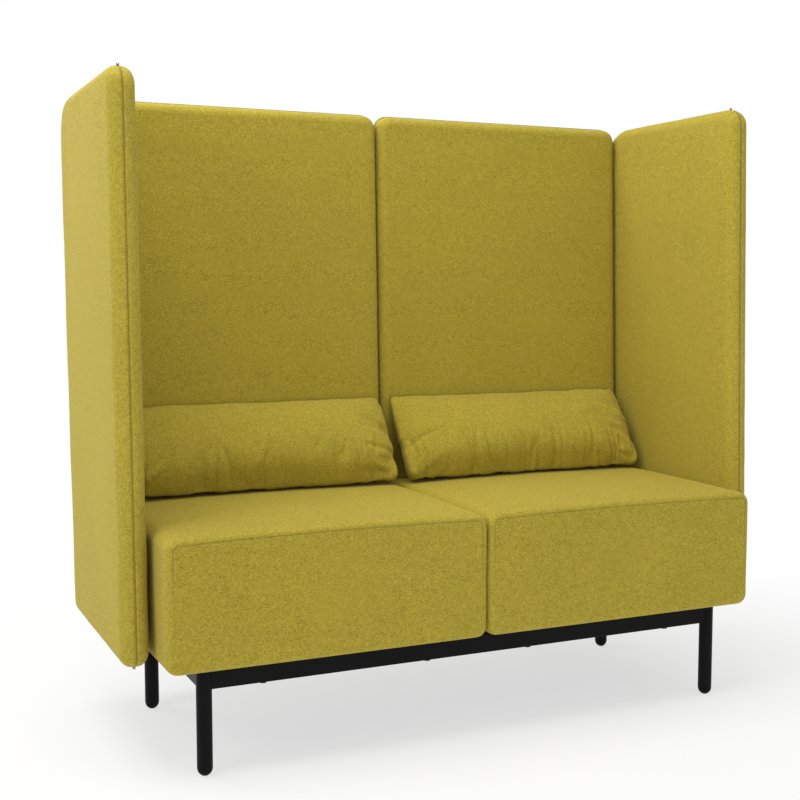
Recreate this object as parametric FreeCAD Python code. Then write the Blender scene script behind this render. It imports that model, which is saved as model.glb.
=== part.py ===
import FreeCAD, Part
import math
import os

os.makedirs("parts", exist_ok=True)

# High-back sofa for two, in millimetres. X runs to the right as seen from the
# front, Y runs to the rear and Z runs up. The origin is on the floor, in the
# middle of the sofa's width and depth. Left and right are as seen from the front.

# Main sizes
overall_depth = 622.0
overall_height = 1315.0
space_between_wings = 1336.0
wing_thickness = 56.0
base_height = 205.0
seat_edge_height = 460.0
seat_crown = 8.0

# Frame
leg_diameter = 30.0
leg_wall = 2.0
leg_inside_wing = 89.0
leg_behind_seat_front = 44.0
leg_before_seat_rear = 52.0
rail_height = 40.0
rail_width = 20.0
rail_wall = 2.0
rail_corner = 2.5
glide_height = 15.0
glide_flat_diameter = 12.0
glide_spigot = 20.0

# Seats
seat_joint = 2.0
seat_to_wing = 10.0
seat_to_back = 3.0
seat_side_radius = 22.0
seat_front_radius = 10.0
deck_thickness = 18.0
dust_cloth_thickness = 1.2
seam_corner = 14.0

# Backs
back_thickness = 56.0
back_lean = 2.0
back_top_setback = 66.0
back_joint = 2.0
back_to_wing = 2.0
back_ground = 3.0
back_corner = 45.0

# Wings
wing_front_setback = 74.0
wing_front_lean = 30.0
wing_rear_lean = 55.0
wing_front_top_corner = 45.0
wing_rear_top_corner = 88.0
wing_bottom_corner = 28.0

# Panels of both kinds
panel_edge_radius = 24.0
core_thickness = 12.0
core_edge = 12.0
cover_thickness = 2.0

# Lumbar cushions
cushion_end_gap = 8.5
cushion_height = 222.0
cushion_depth = 106.0
cushion_tilt = 33.0

# Fixings
bracket_width = 40.0
bracket_thickness = 5.0
bracket_drop = 20.0
bracket_rise = 230.0
bracket_bend = 4.0
screw_diameter = 5.0
screw_head_diameter = 9.0
screw_head_height = 3.0
screw_bite = 10.0
bolt_diameter = 8.0
bolt_head_across = 13.0
bolt_head_height = 2.4
tee_barrel_diameter = 10.5
tee_barrel_length = 13.0
tee_flange_diameter = 22.0
tee_flange_thickness = 1.5
link_diameter = 7.0
link_head_diameter = 11.0
link_head_height = 4.0
link_bite = 40.0
spacer_diameter = 18.0
dowel_diameter = 10.0
dowel_bite = 28.0

# Clearances
fit = 0.2
soft_fit = 0.3
weld_gap = 0.15
cushion_fit = 0.35

# Places that follow from the sizes
front_y = -overall_depth / 2
rear_y = overall_depth / 2
wing_inner_x = space_between_wings / 2
wing_middle_x = wing_inner_x + wing_thickness / 2
leg_x = wing_inner_x - leg_inside_wing
leg_front_y = front_y + leg_behind_seat_front
rail_middle_z = base_height - rail_height / 2
lean = math.radians(back_lean)
back_bottom_z = base_height + back_ground
back_length = (overall_height - back_bottom_z) / math.cos(lean)
back_bottom_y = rear_y - back_top_setback - back_length * math.sin(lean)
back_width = wing_inner_x - back_to_wing - back_joint / 2
back_middle_x = (wing_inner_x - back_to_wing + back_joint / 2) / 2
seat_rear_y = back_bottom_y - seat_to_back
leg_rear_y = seat_rear_y - leg_before_seat_rear
seat_inner_x = seat_joint / 2
seat_outer_x = wing_inner_x - seat_to_wing
seat_middle_x = (seat_inner_x + seat_outer_x) / 2
cushion_width = seat_outer_x - seat_inner_x - 2 * cushion_end_gap
seat_middle_y = (front_y + seat_rear_y) / 2
bracket_z = base_height - bracket_drop
sides = {"left": -1, "right": 1}


def vec(x, y, z):
    return FreeCAD.Vector(x, y, z)


def block(x0, x1, y0, y1, z0, z1):
    return Part.makeBox(x1 - x0, y1 - y0, z1 - z0, vec(x0, y0, z0))


def rod(radius, start, direction, length):
    return Part.makeCylinder(radius, length, start, direction)


def mirrored(shape):
    return shape.mirror(vec(0, 0, 0), vec(1, 0, 0))


def on_side(shape, side):
    # Shapes are drawn on the +X side and mirrored to the other.
    if side > 0:
        return shape
    return mirrored(shape)


def save(name, shapes):
    if len(shapes) == 1:
        shape = shapes[0]
    else:
        shape = Part.makeCompound(shapes)
    shape.exportStep("parts/" + name + ".step")


def only_solid(shape):
    return max(shape.Solids, key=lambda solid: solid.Volume)


# Frame


def tube_section(width, height, wall, corner):
    def ring(half_w, half_h, radius):
        bar = Part.makeBox(2 * half_w, 1, 2 * half_h, vec(-half_w, 0, -half_h))
        upright = [e for e in bar.Edges if abs(e.tangentAt(e.FirstParameter).y) > 0.9]
        return bar.makeFillet(radius, upright)

    outer = ring(width / 2, height / 2, corner)
    inner = ring(width / 2 - wall, height / 2 - wall, max(corner - wall, 0.4))
    return only_solid(outer.cut(inner))


def rail(start, end):
    # A rectangular tube between two points of its centre line.
    along = end.sub(start)
    section = tube_section(rail_width, rail_height, rail_wall, rail_corner)
    face = [f for f in section.Faces if abs(f.CenterOfMass.y) < 1e-6][0]
    bar = face.extrude(vec(0, along.Length, 0))
    turn = math.degrees(math.atan2(along.y, along.x)) - 90
    bar.rotate(vec(0, 0, 0), vec(0, 0, 1), turn)
    bar.translate(start)
    return bar


def leg_tube(x, y):
    length = base_height - glide_height
    outside = rod(leg_diameter / 2, vec(x, y, glide_height), vec(0, 0, 1), length)
    inside = rod(leg_diameter / 2 - leg_wall, vec(x, y, glide_height), vec(0, 0, 1), length)
    return outside.cut(inside)


def leg_glide(x, y):
    # A domed end with a spigot that fits in the tube.
    full = leg_diameter / 2
    flat = glide_flat_diameter / 2
    spigot = full - leg_wall - fit / 2
    dome_radius = ((full - flat) ** 2 + glide_height ** 2) / (2 * (full - flat))
    half_sweep = math.asin(glide_height / dome_radius) / 2
    bulge_x = full - dome_radius * (1 - math.cos(half_sweep))
    bulge = vec(bulge_x, 0, glide_height - dome_radius * math.sin(half_sweep))
    dome = Part.Arc(vec(flat, 0, 0), bulge, vec(full, 0, glide_height)).toShape()
    top = glide_height + glide_spigot
    outline = [dome]
    corners = [
        vec(full, 0, glide_height),
        vec(spigot, 0, glide_height),
        vec(spigot, 0, top),
        vec(0, 0, top),
        vec(0, 0, 0),
        vec(flat, 0, 0),
    ]
    for a, b in zip(corners, corners[1:]):
        outline.append(Part.makeLine(a, b))
    face = Part.Face(Part.Wire(outline))
    glide = face.revolve(vec(0, 0, 0), vec(0, 0, 1), 360)
    glide.translate(vec(x, y, 0))
    return glide


leg_places = {
    "front_left": (-leg_x, leg_front_y),
    "front_right": (leg_x, leg_front_y),
    "rear_left": (-leg_x, leg_rear_y),
    "rear_right": (leg_x, leg_rear_y),
}
leg_clear = []
for x, y in leg_places.values():
    leg_clear.append(rod(leg_diameter / 2 + weld_gap, vec(x, y, 0), vec(0, 0, 1), base_height + 1))

# Seat bolts: two in the front rail and two in the rear rail under each seat.
bolt_places = []
for share in (0.2, 0.8):
    x = seat_inner_x + share * (leg_x - seat_inner_x)
    bolt_places.append((x, leg_front_y))
    bolt_places.append((x, leg_rear_y))
bolt_places += [(-x, y) for x, y in bolt_places]
bolt_holes = []
for x, y in bolt_places:
    bolt_holes.append(rod(bolt_diameter / 2 + fit, vec(x, y, 0), vec(0, 0, 1), seat_edge_height))

corner_rails = {
    "front_rail": (vec(-leg_x, leg_front_y, rail_middle_z), vec(leg_x, leg_front_y, rail_middle_z)),
    "rear_rail": (vec(-leg_x, leg_rear_y, rail_middle_z), vec(leg_x, leg_rear_y, rail_middle_z)),
    "left_side_rail": (vec(-leg_x, leg_front_y, rail_middle_z), vec(-leg_x, leg_rear_y, rail_middle_z)),
    "right_side_rail": (vec(leg_x, leg_front_y, rail_middle_z), vec(leg_x, leg_rear_y, rail_middle_z)),
}
for name, (start, end) in corner_rails.items():
    tube = rail(start, end).cut(Part.makeCompound(leg_clear))
    if name in ("front_rail", "rear_rail"):
        tube = tube.cut(Part.makeCompound(bolt_holes))
    save(name, [only_solid(tube)])
centre_start = vec(0, leg_front_y + rail_width / 2 + weld_gap, rail_middle_z)
centre_end = vec(0, leg_rear_y - rail_width / 2 - weld_gap, rail_middle_z)
save("centre_rail", [rail(centre_start, centre_end)])
for place, (x, y) in leg_places.items():
    save("leg_" + place, [leg_tube(x, y)])
save("leg_glides", [leg_glide(x, y) for x, y in leg_places.values()])


# Seat fixings


def seat_bolt(x, y):
    hexagon = []
    for step in range(7):
        angle = math.radians(60 * step)
        reach = bolt_head_across / 2 / math.cos(math.radians(30))
        hexagon.append(vec(reach * math.cos(angle), reach * math.sin(angle), 0))
    head = Part.Face(Part.makePolygon(hexagon)).extrude(vec(0, 0, bolt_head_height))
    rail_bottom = base_height - rail_height
    head.translate(vec(x, y, rail_bottom - bolt_head_height))
    tip = base_height + dust_cloth_thickness + deck_thickness - tee_flange_thickness
    shank = rod(bolt_diameter / 2, vec(x, y, rail_bottom), vec(0, 0, 1), tip - rail_bottom)
    return head.fuse(shank).removeSplitter()


def tee_nut(x, y):
    deck_top = base_height + dust_cloth_thickness + deck_thickness
    flange_z = deck_top - tee_flange_thickness
    flange = rod(tee_flange_diameter / 2, vec(x, y, flange_z), vec(0, 0, 1), tee_flange_thickness)
    barrel_z = deck_top - tee_barrel_length
    barrel = rod(tee_barrel_diameter / 2, vec(x, y, barrel_z), vec(0, 0, 1), tee_barrel_length)
    bore = rod(bolt_diameter / 2 + fit / 2, vec(x, y, barrel_z), vec(0, 0, 1), tee_barrel_length)
    return only_solid(flange.fuse(barrel).removeSplitter().cut(bore))


def tee_nut_pocket(x, y):
    deck_top = base_height + dust_cloth_thickness + deck_thickness
    flange_z = deck_top - tee_flange_thickness
    flange = rod(tee_flange_diameter / 2 + fit, vec(x, y, flange_z), vec(0, 0, 1), tee_flange_thickness)
    barrel = rod(tee_barrel_diameter / 2 + fit / 2, vec(x, y, 0), vec(0, 0, 1), deck_top)
    return flange.fuse(barrel)


save("seat_bolts", [seat_bolt(x, y) for x, y in bolt_places])
save("seat_tee_nuts", [tee_nut(x, y) for x, y in bolt_places])


# Seats


seat_crown_radius = ((seat_outer_x - seat_inner_x) ** 2 + (seat_rear_y - front_y) ** 2) / (8 * seat_crown)
seat_crown_centre = vec(seat_middle_x, seat_middle_y, seat_edge_height + seat_crown - seat_crown_radius)


def seat_block(inset):
    # The padded seat with a domed top and rounded edges, drawn in by the inset.
    body = block(
        seat_inner_x + inset,
        seat_outer_x - inset,
        front_y + inset,
        seat_rear_y - inset,
        base_height,
        seat_edge_height + 2 * seat_crown,
    )
    body = body.common(Part.makeSphere(seat_crown_radius - inset, seat_crown_centre))
    top = max(body.Faces, key=lambda face: face.CenterOfMass.z)
    along = [e for e in top.Edges if e.BoundBox.YLength > e.BoundBox.XLength]
    body = body.makeFillet(seat_side_radius - inset, along)
    rims = []
    for edge in body.Edges:
        box = edge.BoundBox
        upright_face = box.YLength < 1.0
        on_floor = box.ZMax < base_height + 1e-3
        if upright_face and not on_floor:
            rims.append(edge)
    return body.makeFillet(seat_front_radius - inset, rims)


def front_panel_outline(grow):
    # The front panel's prism: square at the bottom, rounded at the top corners.
    x0 = seat_inner_x + seat_front_radius - grow
    x1 = seat_outer_x - seat_front_radius + grow
    top = seat_edge_height - seat_front_radius + grow
    prism = block(x0, x1, front_y - 1, front_y + cover_thickness, base_height - 1, top)
    edges = []
    for edge in prism.Edges:
        if edge.BoundBox.YLength > cover_thickness and edge.BoundBox.ZMin > base_height:
            edges.append(edge)
    return prism.makeFillet(seam_corner + grow, edges)


seat_outer = seat_block(0)
seat_hollow = seat_block(cover_thickness)
seat_inside = seat_block(cover_thickness + soft_fit)
seat_cover = only_solid(seat_outer.cut(seat_hollow).cut(front_panel_outline(soft_fit / 2)))
seat_front = only_solid(seat_outer.common(front_panel_outline(-soft_fit / 2)))
deck_bottom = base_height + dust_cloth_thickness
deck_top = deck_bottom + deck_thickness
far = overall_depth + overall_height + space_between_wings
seat_cloth = only_solid(seat_inside.common(block(-far, far, -far, far, 0, deck_bottom)))
seat_deck = only_solid(seat_inside.common(block(-far, far, -far, far, deck_bottom, deck_top)))
seat_foam = only_solid(seat_inside.common(block(-far, far, -far, far, deck_top, far)))
for x, y in bolt_places:
    if x > 0:
        hole = rod(tee_flange_diameter / 2, vec(x, y, base_height - 1), vec(0, 0, 1), deck_thickness)
        seat_cloth = seat_cloth.cut(hole)
        seat_deck = seat_deck.cut(tee_nut_pocket(x, y))
for name, side in sides.items():
    save(name + "_seat_cover", [on_side(seat_cover, side)])
    save(name + "_seat_front_panel", [on_side(seat_front, side)])
    save(name + "_seat_foam", [on_side(seat_foam, side)])
    save(name + "_seat_deck", [on_side(only_solid(seat_deck), side)])
    save(name + "_seat_dust_cloth", [on_side(only_solid(seat_cloth), side)])


# Upholstered panels


def inset_corners(corners, inset):
    # Move each side of a convex outline inwards and meet the sides again.
    lines = []
    count = len(corners)
    for i in range(count):
        (u0, v0), (u1, v1) = corners[i], corners[(i + 1) % count]
        length = math.hypot(u1 - u0, v1 - v0)
        du, dv = (u1 - u0) / length, (v1 - v0) / length
        lines.append((u0 - dv * inset, v0 + du * inset, du, dv))
    moved = []
    for i in range(count):
        ua, va, dua, dva = lines[i - 1]
        ub, vb, dub, dvb = lines[i]
        cross = dua * dvb - dva * dub
        along = ((ub - ua) * dvb - (vb - va) * dub) / cross
        moved.append((ua + along * dua, va + along * dva))
    return moved


def rounded_wire(corners, radii, place):
    # A closed outline with an arc at each corner; place turns (u, v) into a point.
    parts = []
    count = len(corners)
    ends = []
    for i in range(count):
        u, v = corners[i]
        before, after = corners[i - 1], corners[(i + 1) % count]
        a = math.atan2(before[1] - v, before[0] - u)
        b = math.atan2(after[1] - v, after[0] - u)
        half = abs((a - b + math.pi) % (2 * math.pi) - math.pi) / 2
        cut = radii[i] / math.tan(half)
        start = (u + cut * math.cos(a), v + cut * math.sin(a))
        stop = (u + cut * math.cos(b), v + cut * math.sin(b))
        du = math.cos(a) + math.cos(b)
        dv = math.sin(a) + math.sin(b)
        reach = radii[i] / math.sin(half) - radii[i]
        size = math.hypot(du, dv)
        middle = (u + reach * du / size, v + reach * dv / size)
        ends.append((start, middle, stop))
    for i in range(count):
        start, middle, stop = ends[i]
        parts.append(Part.Arc(place(*start), place(*middle), place(*stop)).toShape())
        parts.append(Part.makeLine(place(*stop), place(*ends[(i + 1) % count][0])))
    return Part.Wire(parts)


def slab(corners, radii, thickness, place, along):
    wire = rounded_wire(corners, radii, place)
    return Part.Face(wire).extrude(along * thickness)


def soft_panel(corners, radii, thickness, inset, place, along):
    # A slab with rounded face edges, drawn in all round by the inset.
    edge = min(panel_edge_radius, 0.46 * thickness) - inset
    radii = [max(radius - inset, edge + 2) for radius in radii]
    shape = slab(inset_corners(corners, inset), radii, thickness - 2 * inset, place, along)
    shape.translate(along * inset)
    ends = sorted(shape.Faces, key=lambda face: face.CenterOfMass.dot(along))
    return shape.makeFillet(edge, ends[0].Edges + ends[-1].Edges)


def panel_pieces(corners, radii, thickness, place, along):
    # A core board, and cover and foam halves that meet in the middle plane.
    outer = soft_panel(corners, radii, thickness, 0, place, along)
    hollow = soft_panel(corners, radii, thickness, cover_thickness, place, along)
    inside = soft_panel(corners, radii, thickness, cover_thickness + soft_fit, place, along)
    core_radii = [max(radius - core_edge, 2.0) for radius in radii]
    to_core = along * ((thickness - core_thickness) / 2)
    core = slab(inset_corners(corners, core_edge), core_radii, core_thickness, place, along)
    core.translate(to_core)
    pocket = slab(inset_corners(corners, core_edge - soft_fit), core_radii, core_thickness, place, along)
    pocket.translate(to_core)
    shell = outer.cut(hollow)
    filling = inside.cut(pocket)
    middle = place(0, 0) + along * (thickness / 2)
    halves = []
    for sign in (-1, 1):
        cube = Part.makeBox(far, far, far, vec(-far / 2, -far / 2, 0))
        cube.Placement = FreeCAD.Placement(middle, FreeCAD.Rotation(vec(0, 0, 1), along * sign))
        halves.append((shell.common(cube), filling.common(cube)))
    return core, halves


# Wings: the outline is drawn in Y and Z and extruded outwards in X.


def wing_place(y, z):
    return vec(wing_inner_x, y, z)


# The rounded top rear corner is what reaches the full depth.
wing_front_y = front_y + wing_front_setback
wing_rear_slope = math.atan(wing_rear_lean / (overall_height - base_height))
corner_loss = math.tan(wing_rear_slope) + 1 / math.cos(wing_rear_slope) - 1
wing_rear_y = rear_y + wing_rear_top_corner * corner_loss
wing_corners = [
    (wing_front_y, base_height),
    (wing_rear_y - wing_rear_lean, base_height),
    (wing_rear_y, overall_height),
    (wing_front_y + wing_front_lean, overall_height),
]
wing_radii = [wing_bottom_corner, wing_bottom_corner, wing_rear_top_corner, wing_front_top_corner]
wing_core, wing_halves = panel_pieces(wing_corners, wing_radii, wing_thickness, wing_place, vec(1, 0, 0))

# Backs: the outline is drawn upright in X and Z, extruded in Y, then leaned.


def back_place(x, z):
    return vec(x, 0, z)


def leaned(shape):
    copy = shape.copy()
    copy.rotate(vec(0, 0, 0), vec(1, 0, 0), -back_lean)
    copy.translate(vec(0, back_bottom_y, back_bottom_z))
    return copy


back_x0 = back_middle_x - back_width / 2
back_x1 = back_middle_x + back_width / 2
back_corners = [(back_x0, 0), (back_x1, 0), (back_x1, back_length), (back_x0, back_length)]
back_radii = [wing_bottom_corner, wing_bottom_corner, back_corner, back_corner]
back_core, back_halves = panel_pieces(back_corners, back_radii, back_thickness, back_place, vec(0, 1, 0))


# Brackets, screws, spacers and dowels


def bent_bar(points, width, bends):
    # A flat bar with its bends rounded; a bend is a corner and a radius.
    bar = Part.Face(Part.makePolygon(points + [points[0]])).extrude(width)
    for corner, radius in bends:
        centre = corner + width * 0.5
        edge = min(bar.Edges, key=lambda e: (e.CenterOfMass - centre).Length)
        bar = bar.makeFillet(radius, [edge])
    return bar


bracket_top = bracket_z + bracket_rise
core_face_x = wing_middle_x - core_thickness / 2
bracket_face_x = core_face_x - bracket_thickness
side_rail_face = leg_x + rail_width / 2


def wing_bracket(y):
    start = y - bracket_width / 2
    points = [
        vec(side_rail_face, start, bracket_z),
        vec(core_face_x, start, bracket_z),
        vec(core_face_x, start, bracket_top),
        vec(bracket_face_x, start, bracket_top),
        vec(bracket_face_x, start, bracket_z + bracket_thickness),
        vec(side_rail_face, start, bracket_z + bracket_thickness),
    ]
    bends = [(points[1], bracket_bend + bracket_thickness), (points[4], bracket_bend)]
    return bent_bar(points, vec(0, bracket_width, 0), bends)


def head_screw(point, direction):
    # A pan-head screw: the head starts at the point and the shank goes on.
    head = rod(screw_head_diameter / 2, point, direction, screw_head_height)
    tip = bracket_thickness + screw_bite
    shank_start = point + direction * screw_head_height
    shank = rod(screw_diameter / 2, shank_start, direction, tip)
    return head.fuse(shank).removeSplitter()


def head_screw_hole(point, direction, extra):
    reach = screw_head_height + bracket_thickness + screw_bite + extra
    return rod(screw_diameter / 2 + extra, point, direction, reach)


wing_bracket_places = []
wing_bottom_length = wing_rear_y - wing_rear_lean - wing_front_y
for share in (0.3, 0.7):
    wing_bracket_places.append(wing_front_y + share * wing_bottom_length)
screw_heights = [bracket_rise * 0.55, bracket_rise * 0.85]

wing_brackets = []
wing_screws = []
wing_cover_slots = []
wing_foam_slots = []
wing_core_holes = []
slot_half = bracket_width / 2 + soft_fit
for y in wing_bracket_places:
    bar = wing_bracket(y)
    y0 = y - slot_half
    y1 = y + slot_half
    slot_x0 = bracket_face_x - soft_fit
    slot_x1 = core_face_x + soft_fit
    slot_top = bracket_top + soft_fit
    wing_cover_slots.append(block(slot_x0, slot_x1, y0, y1, 0, slot_top))
    wing_foam_slots.append(block(slot_x0 - screw_head_height, slot_x1, y0, y1, 0, slot_top))
    for height in screw_heights:
        start = vec(bracket_face_x - screw_head_height, y, bracket_z + height)
        wing_screws.append(head_screw(start, vec(1, 0, 0)))
        bar = bar.cut(head_screw_hole(start, vec(1, 0, 0), fit))
        wing_core_holes.append(head_screw_hole(start, vec(1, 0, 0), fit / 2))
    wing_brackets.append(only_solid(bar))

# The bar of a back bracket follows the lean of the core board.
core_front = (back_thickness - core_thickness) / 2
rear_rail_face = leg_rear_y + rail_width / 2


def on_back(y, z):
    # A point given in the upright drawing of the back, as leaned.
    return (
        back_bottom_y + y * math.cos(lean) + z * math.sin(lean),
        back_bottom_z - y * math.sin(lean) + z * math.cos(lean),
    )


def on_back_at(y, height):
    # The point at a height above the floor on a plane of the upright drawing.
    z = (height - back_bottom_z + y * math.sin(lean)) / math.cos(lean)
    return on_back(y, z)


bracket_leg = bracket_rise - bracket_drop


def back_bracket(x):
    start = x - bracket_width / 2
    plane = [
        (rear_rail_face, bracket_z),
        on_back_at(core_front, bracket_z),
        on_back(core_front, bracket_leg),
        on_back(core_front - bracket_thickness, bracket_leg),
        on_back_at(core_front - bracket_thickness, bracket_z + bracket_thickness),
        (rear_rail_face, bracket_z + bracket_thickness),
    ]
    points = [vec(start, y, z) for y, z in plane]
    bends = [(points[1], bracket_bend + bracket_thickness), (points[4], bracket_bend)]
    return bent_bar(points, vec(bracket_width, 0, 0), bends)


back_brackets = []
back_screws = []
back_cover_slots = []
back_foam_slots = []
back_core_holes = []
face_y = core_front - bracket_thickness
for share in (0.25, 0.75):
    x = back_x0 + share * back_width
    bar = back_bracket(x)
    x0 = x - slot_half
    x1 = x + slot_half
    slot_y0 = face_y - soft_fit
    slot_y1 = core_front + soft_fit
    slot_top = bracket_leg + soft_fit
    slot_bottom = -2 * bracket_drop
    back_cover_slots.append(block(x0, x1, slot_y0, slot_y1, slot_bottom, slot_top))
    back_foam_slots.append(block(x0, x1, slot_y0 - screw_head_height, slot_y1, slot_bottom, slot_top))
    for height in screw_heights:
        start = vec(x, face_y - screw_head_height, height - bracket_drop)
        back_screws.append(leaned(head_screw(start, vec(0, 1, 0))))
        bar = bar.cut(leaned(head_screw_hole(start, vec(0, 1, 0), fit)))
        back_core_holes.append(head_screw_hole(start, vec(0, 1, 0), fit / 2))
    back_brackets.append(only_solid(bar))

save("left_wing_brackets", [mirrored(bar) for bar in wing_brackets])
save("right_wing_brackets", wing_brackets)
save("back_brackets", back_brackets + [mirrored(bar) for bar in back_brackets])
all_screws = wing_screws + back_screws
save("bracket_screws", all_screws + [mirrored(screw) for screw in all_screws])

# Long screws go through each wing core, a spacer and into the end of a back core.
link_heights = [back_length * share for share in (0.3, 0.6, 0.88)]
core_middle = back_thickness / 2
back_core_end = back_x1 - core_edge
wing_core_outside = wing_middle_x + core_thickness / 2
wing_core_inside = wing_middle_x - core_thickness / 2
links = []
spacers = []
link_wing_core = []
link_wing_soft = []
link_wing_head = []
link_back_core = []
link_back_soft = []
inwards = vec(-1, 0, 0)
link_reach = wing_core_outside - back_core_end + link_bite
spacer_length = wing_core_inside - back_core_end
spacer_hole = spacer_diameter / 2 + soft_fit
for height in link_heights:
    y, z = on_back(core_middle, height)
    head_end = vec(wing_core_outside + link_head_height, y, z)
    outside = vec(wing_core_outside, y, z)
    inside = vec(wing_core_inside, y, z)
    head = rod(link_head_diameter / 2, head_end, inwards, link_head_height)
    shank = rod(link_diameter / 2, outside, inwards, link_reach)
    links.append(head.fuse(shank).removeSplitter())
    tube = rod(spacer_diameter / 2, inside, inwards, spacer_length)
    spacers.append(tube.cut(rod(link_diameter / 2 + fit, inside, inwards, spacer_length)))
    link_wing_core.append(rod(link_diameter / 2 + fit, head_end, inwards, wing_thickness))
    link_wing_soft.append(rod(spacer_hole, inside, inwards, wing_thickness))
    head_pocket = head_end + vec(soft_fit, 0, 0)
    link_wing_head.append(rod(link_head_diameter / 2 + soft_fit, head_pocket, inwards, wing_thickness))
    link_back_core.append(rod(link_diameter / 2 + fit / 2, outside, inwards, link_reach + fit))
    link_back_soft.append(rod(spacer_hole, outside, inwards, wing_core_outside - back_core_end))
save("link_screws", links + [mirrored(link) for link in links])
save("link_spacers", spacers + [mirrored(spacer) for spacer in spacers])

# Dowels join the two back cores across the middle.
dowels = []
dowel_holes = []
dowel_end = back_x0 + core_edge + dowel_bite
hole_end = dowel_end + fit
for height in link_heights:
    y, z = on_back(core_middle, height)
    dowels.append(rod(dowel_diameter / 2, vec(-dowel_end, y, z), vec(1, 0, 0), 2 * dowel_end))
    dowel_holes.append(rod(dowel_diameter / 2 + fit, vec(-hole_end, y, z), vec(1, 0, 0), 2 * hole_end))
save("back_dowels", dowels)

# Save the wings.
wing_core = wing_core.cut(Part.makeCompound(wing_core_holes)).cut(Part.makeCompound(link_wing_core))
inner_cover, inner_foam = wing_halves[0]
outer_cover, outer_foam = wing_halves[1]
inner_cover = inner_cover.cut(Part.makeCompound(wing_cover_slots)).cut(Part.makeCompound(link_wing_soft))
inner_foam = inner_foam.cut(Part.makeCompound(wing_foam_slots)).cut(Part.makeCompound(link_wing_soft))
outer_foam = outer_foam.cut(Part.makeCompound(link_wing_head))
wing_parts = {
    "wing_core": wing_core,
    "wing_inner_foam": inner_foam,
    "wing_outer_foam": outer_foam,
    "wing_inner_cover": inner_cover,
    "wing_outer_cover": outer_cover,
}
for name, side in sides.items():
    for part_name, shape in wing_parts.items():
        save(name + "_" + part_name, [on_side(only_solid(shape), side)])

# Save the backs.
joint_holes = Part.makeCompound(dowel_holes)
front_cover, front_foam = [leaned(half) for half in back_halves[0]]
rear_cover, rear_foam = [leaned(half) for half in back_halves[1]]
back_core = leaned(back_core.cut(Part.makeCompound(back_core_holes)))
back_core = back_core.cut(joint_holes).cut(Part.makeCompound(link_back_core))
end_holes = Part.makeCompound(link_back_soft)
front_cover = front_cover.cut(leaned(Part.makeCompound(back_cover_slots)))
front_foam = front_foam.cut(leaned(Part.makeCompound(back_foam_slots)))
back_parts = {"back_core": back_core}
soft_parts = {
    "back_front_foam": front_foam,
    "back_rear_foam": rear_foam,
    "back_front_cover": front_cover,
    "back_rear_cover": rear_cover,
}
for part_name, shape in soft_parts.items():
    back_parts[part_name] = shape.cut(end_holes).cut(joint_holes)
for name, side in sides.items():
    for part_name, shape in back_parts.items():
        save(name + "_" + part_name, [on_side(only_solid(shape), side)])


# Lumbar cushions: sections across the width, each a lens of two arcs.
# Each row is a share of the half width, of the half height and of the half depth.
cushion_rows = [
    (0.0, 0.955, 1.0),
    (0.4, 0.96, 0.97),
    (0.72, 0.975, 0.84),
    (0.9, 1.0, 0.56),
    (0.975, 0.985, 0.28),
    (1.0, 0.93, 0.1),
]


def cushion_stations(inset):
    stations = []
    rows = [(-share, tall, deep) for share, tall, deep in cushion_rows[:0:-1]] + cushion_rows
    for share, tall, deep in rows:
        x = share * (cushion_width / 2 - inset)
        half_height = tall * cushion_height / 2 - inset
        half_depth = deep * cushion_depth / 2 - inset
        stations.append((x, half_height, half_depth))
    return stations


def cushion_solid(inset, front, rear):
    # The front and rear flags say which half of the lens is kept.
    wires = []
    for x, half_height, half_depth in cushion_stations(inset):
        low = vec(x, 0, -half_height)
        high = vec(x, 0, half_height)
        front_side = Part.makeLine(low, high)
        rear_side = Part.makeLine(high, low)
        if front:
            front_side = Part.Arc(low, vec(x, -half_depth, 0), high).toShape()
        if rear:
            rear_side = Part.Arc(high, vec(x, half_depth, 0), low).toShape()
        wires.append(Part.Wire([front_side, rear_side]))
    return Part.makeLoft(wires, True, False)


def cushion_shift():
    # Lean the cushion, then set it down on the seat and against the back.
    outside = cushion_solid(0, True, True)
    outside.rotate(vec(0, 0, 0), vec(1, 0, 0), -cushion_tilt)
    outside.translate(vec(seat_middle_x, 0, 0))
    points = outside.tessellate(0.1)[0]
    normal_y = math.cos(lean)
    normal_z = -math.sin(lean)
    shift_y = 0.0
    shift_z = seat_edge_height + cushion_height
    for step in range(8):
        gaps = []
        for point in points:
            dx = point.x - seat_crown_centre.x
            dy = point.y + shift_y - seat_crown_centre.y
            top = seat_crown_centre.z + math.sqrt(seat_crown_radius ** 2 - dx ** 2 - dy ** 2)
            gaps.append(point.z + shift_z - top)
        shift_z += cushion_fit - min(gaps)
        reach = max(
            (point.y + shift_y - back_bottom_y) * normal_y + (point.z + shift_z - back_bottom_z) * normal_z
            for point in points
        )
        shift_y -= (reach + cushion_fit) / normal_y
    return vec(seat_middle_x, shift_y, shift_z)


cushion_move = cushion_shift()


def placed_cushion(shape):
    copy = shape.copy()
    copy.rotate(vec(0, 0, 0), vec(1, 0, 0), -cushion_tilt)
    copy.translate(cushion_move)
    return copy


cushion_front = cushion_solid(0, True, False).cut(cushion_solid(cover_thickness, True, False))
cushion_rear = cushion_solid(0, False, True).cut(cushion_solid(cover_thickness, False, True))
cushion_fill = cushion_solid(cover_thickness + soft_fit, True, True)
cushion_parts = {
    "cushion_front_cover": cushion_front,
    "cushion_rear_cover": cushion_rear,
    "cushion_fill": cushion_fill,
}
for name, side in sides.items():
    for part_name, shape in cushion_parts.items():
        save(name + "_" + part_name, [on_side(placed_cushion(only_solid(shape)), side)])
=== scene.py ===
import math

import bmesh
import bpy
from mathutils import Matrix, Vector, noise


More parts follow.
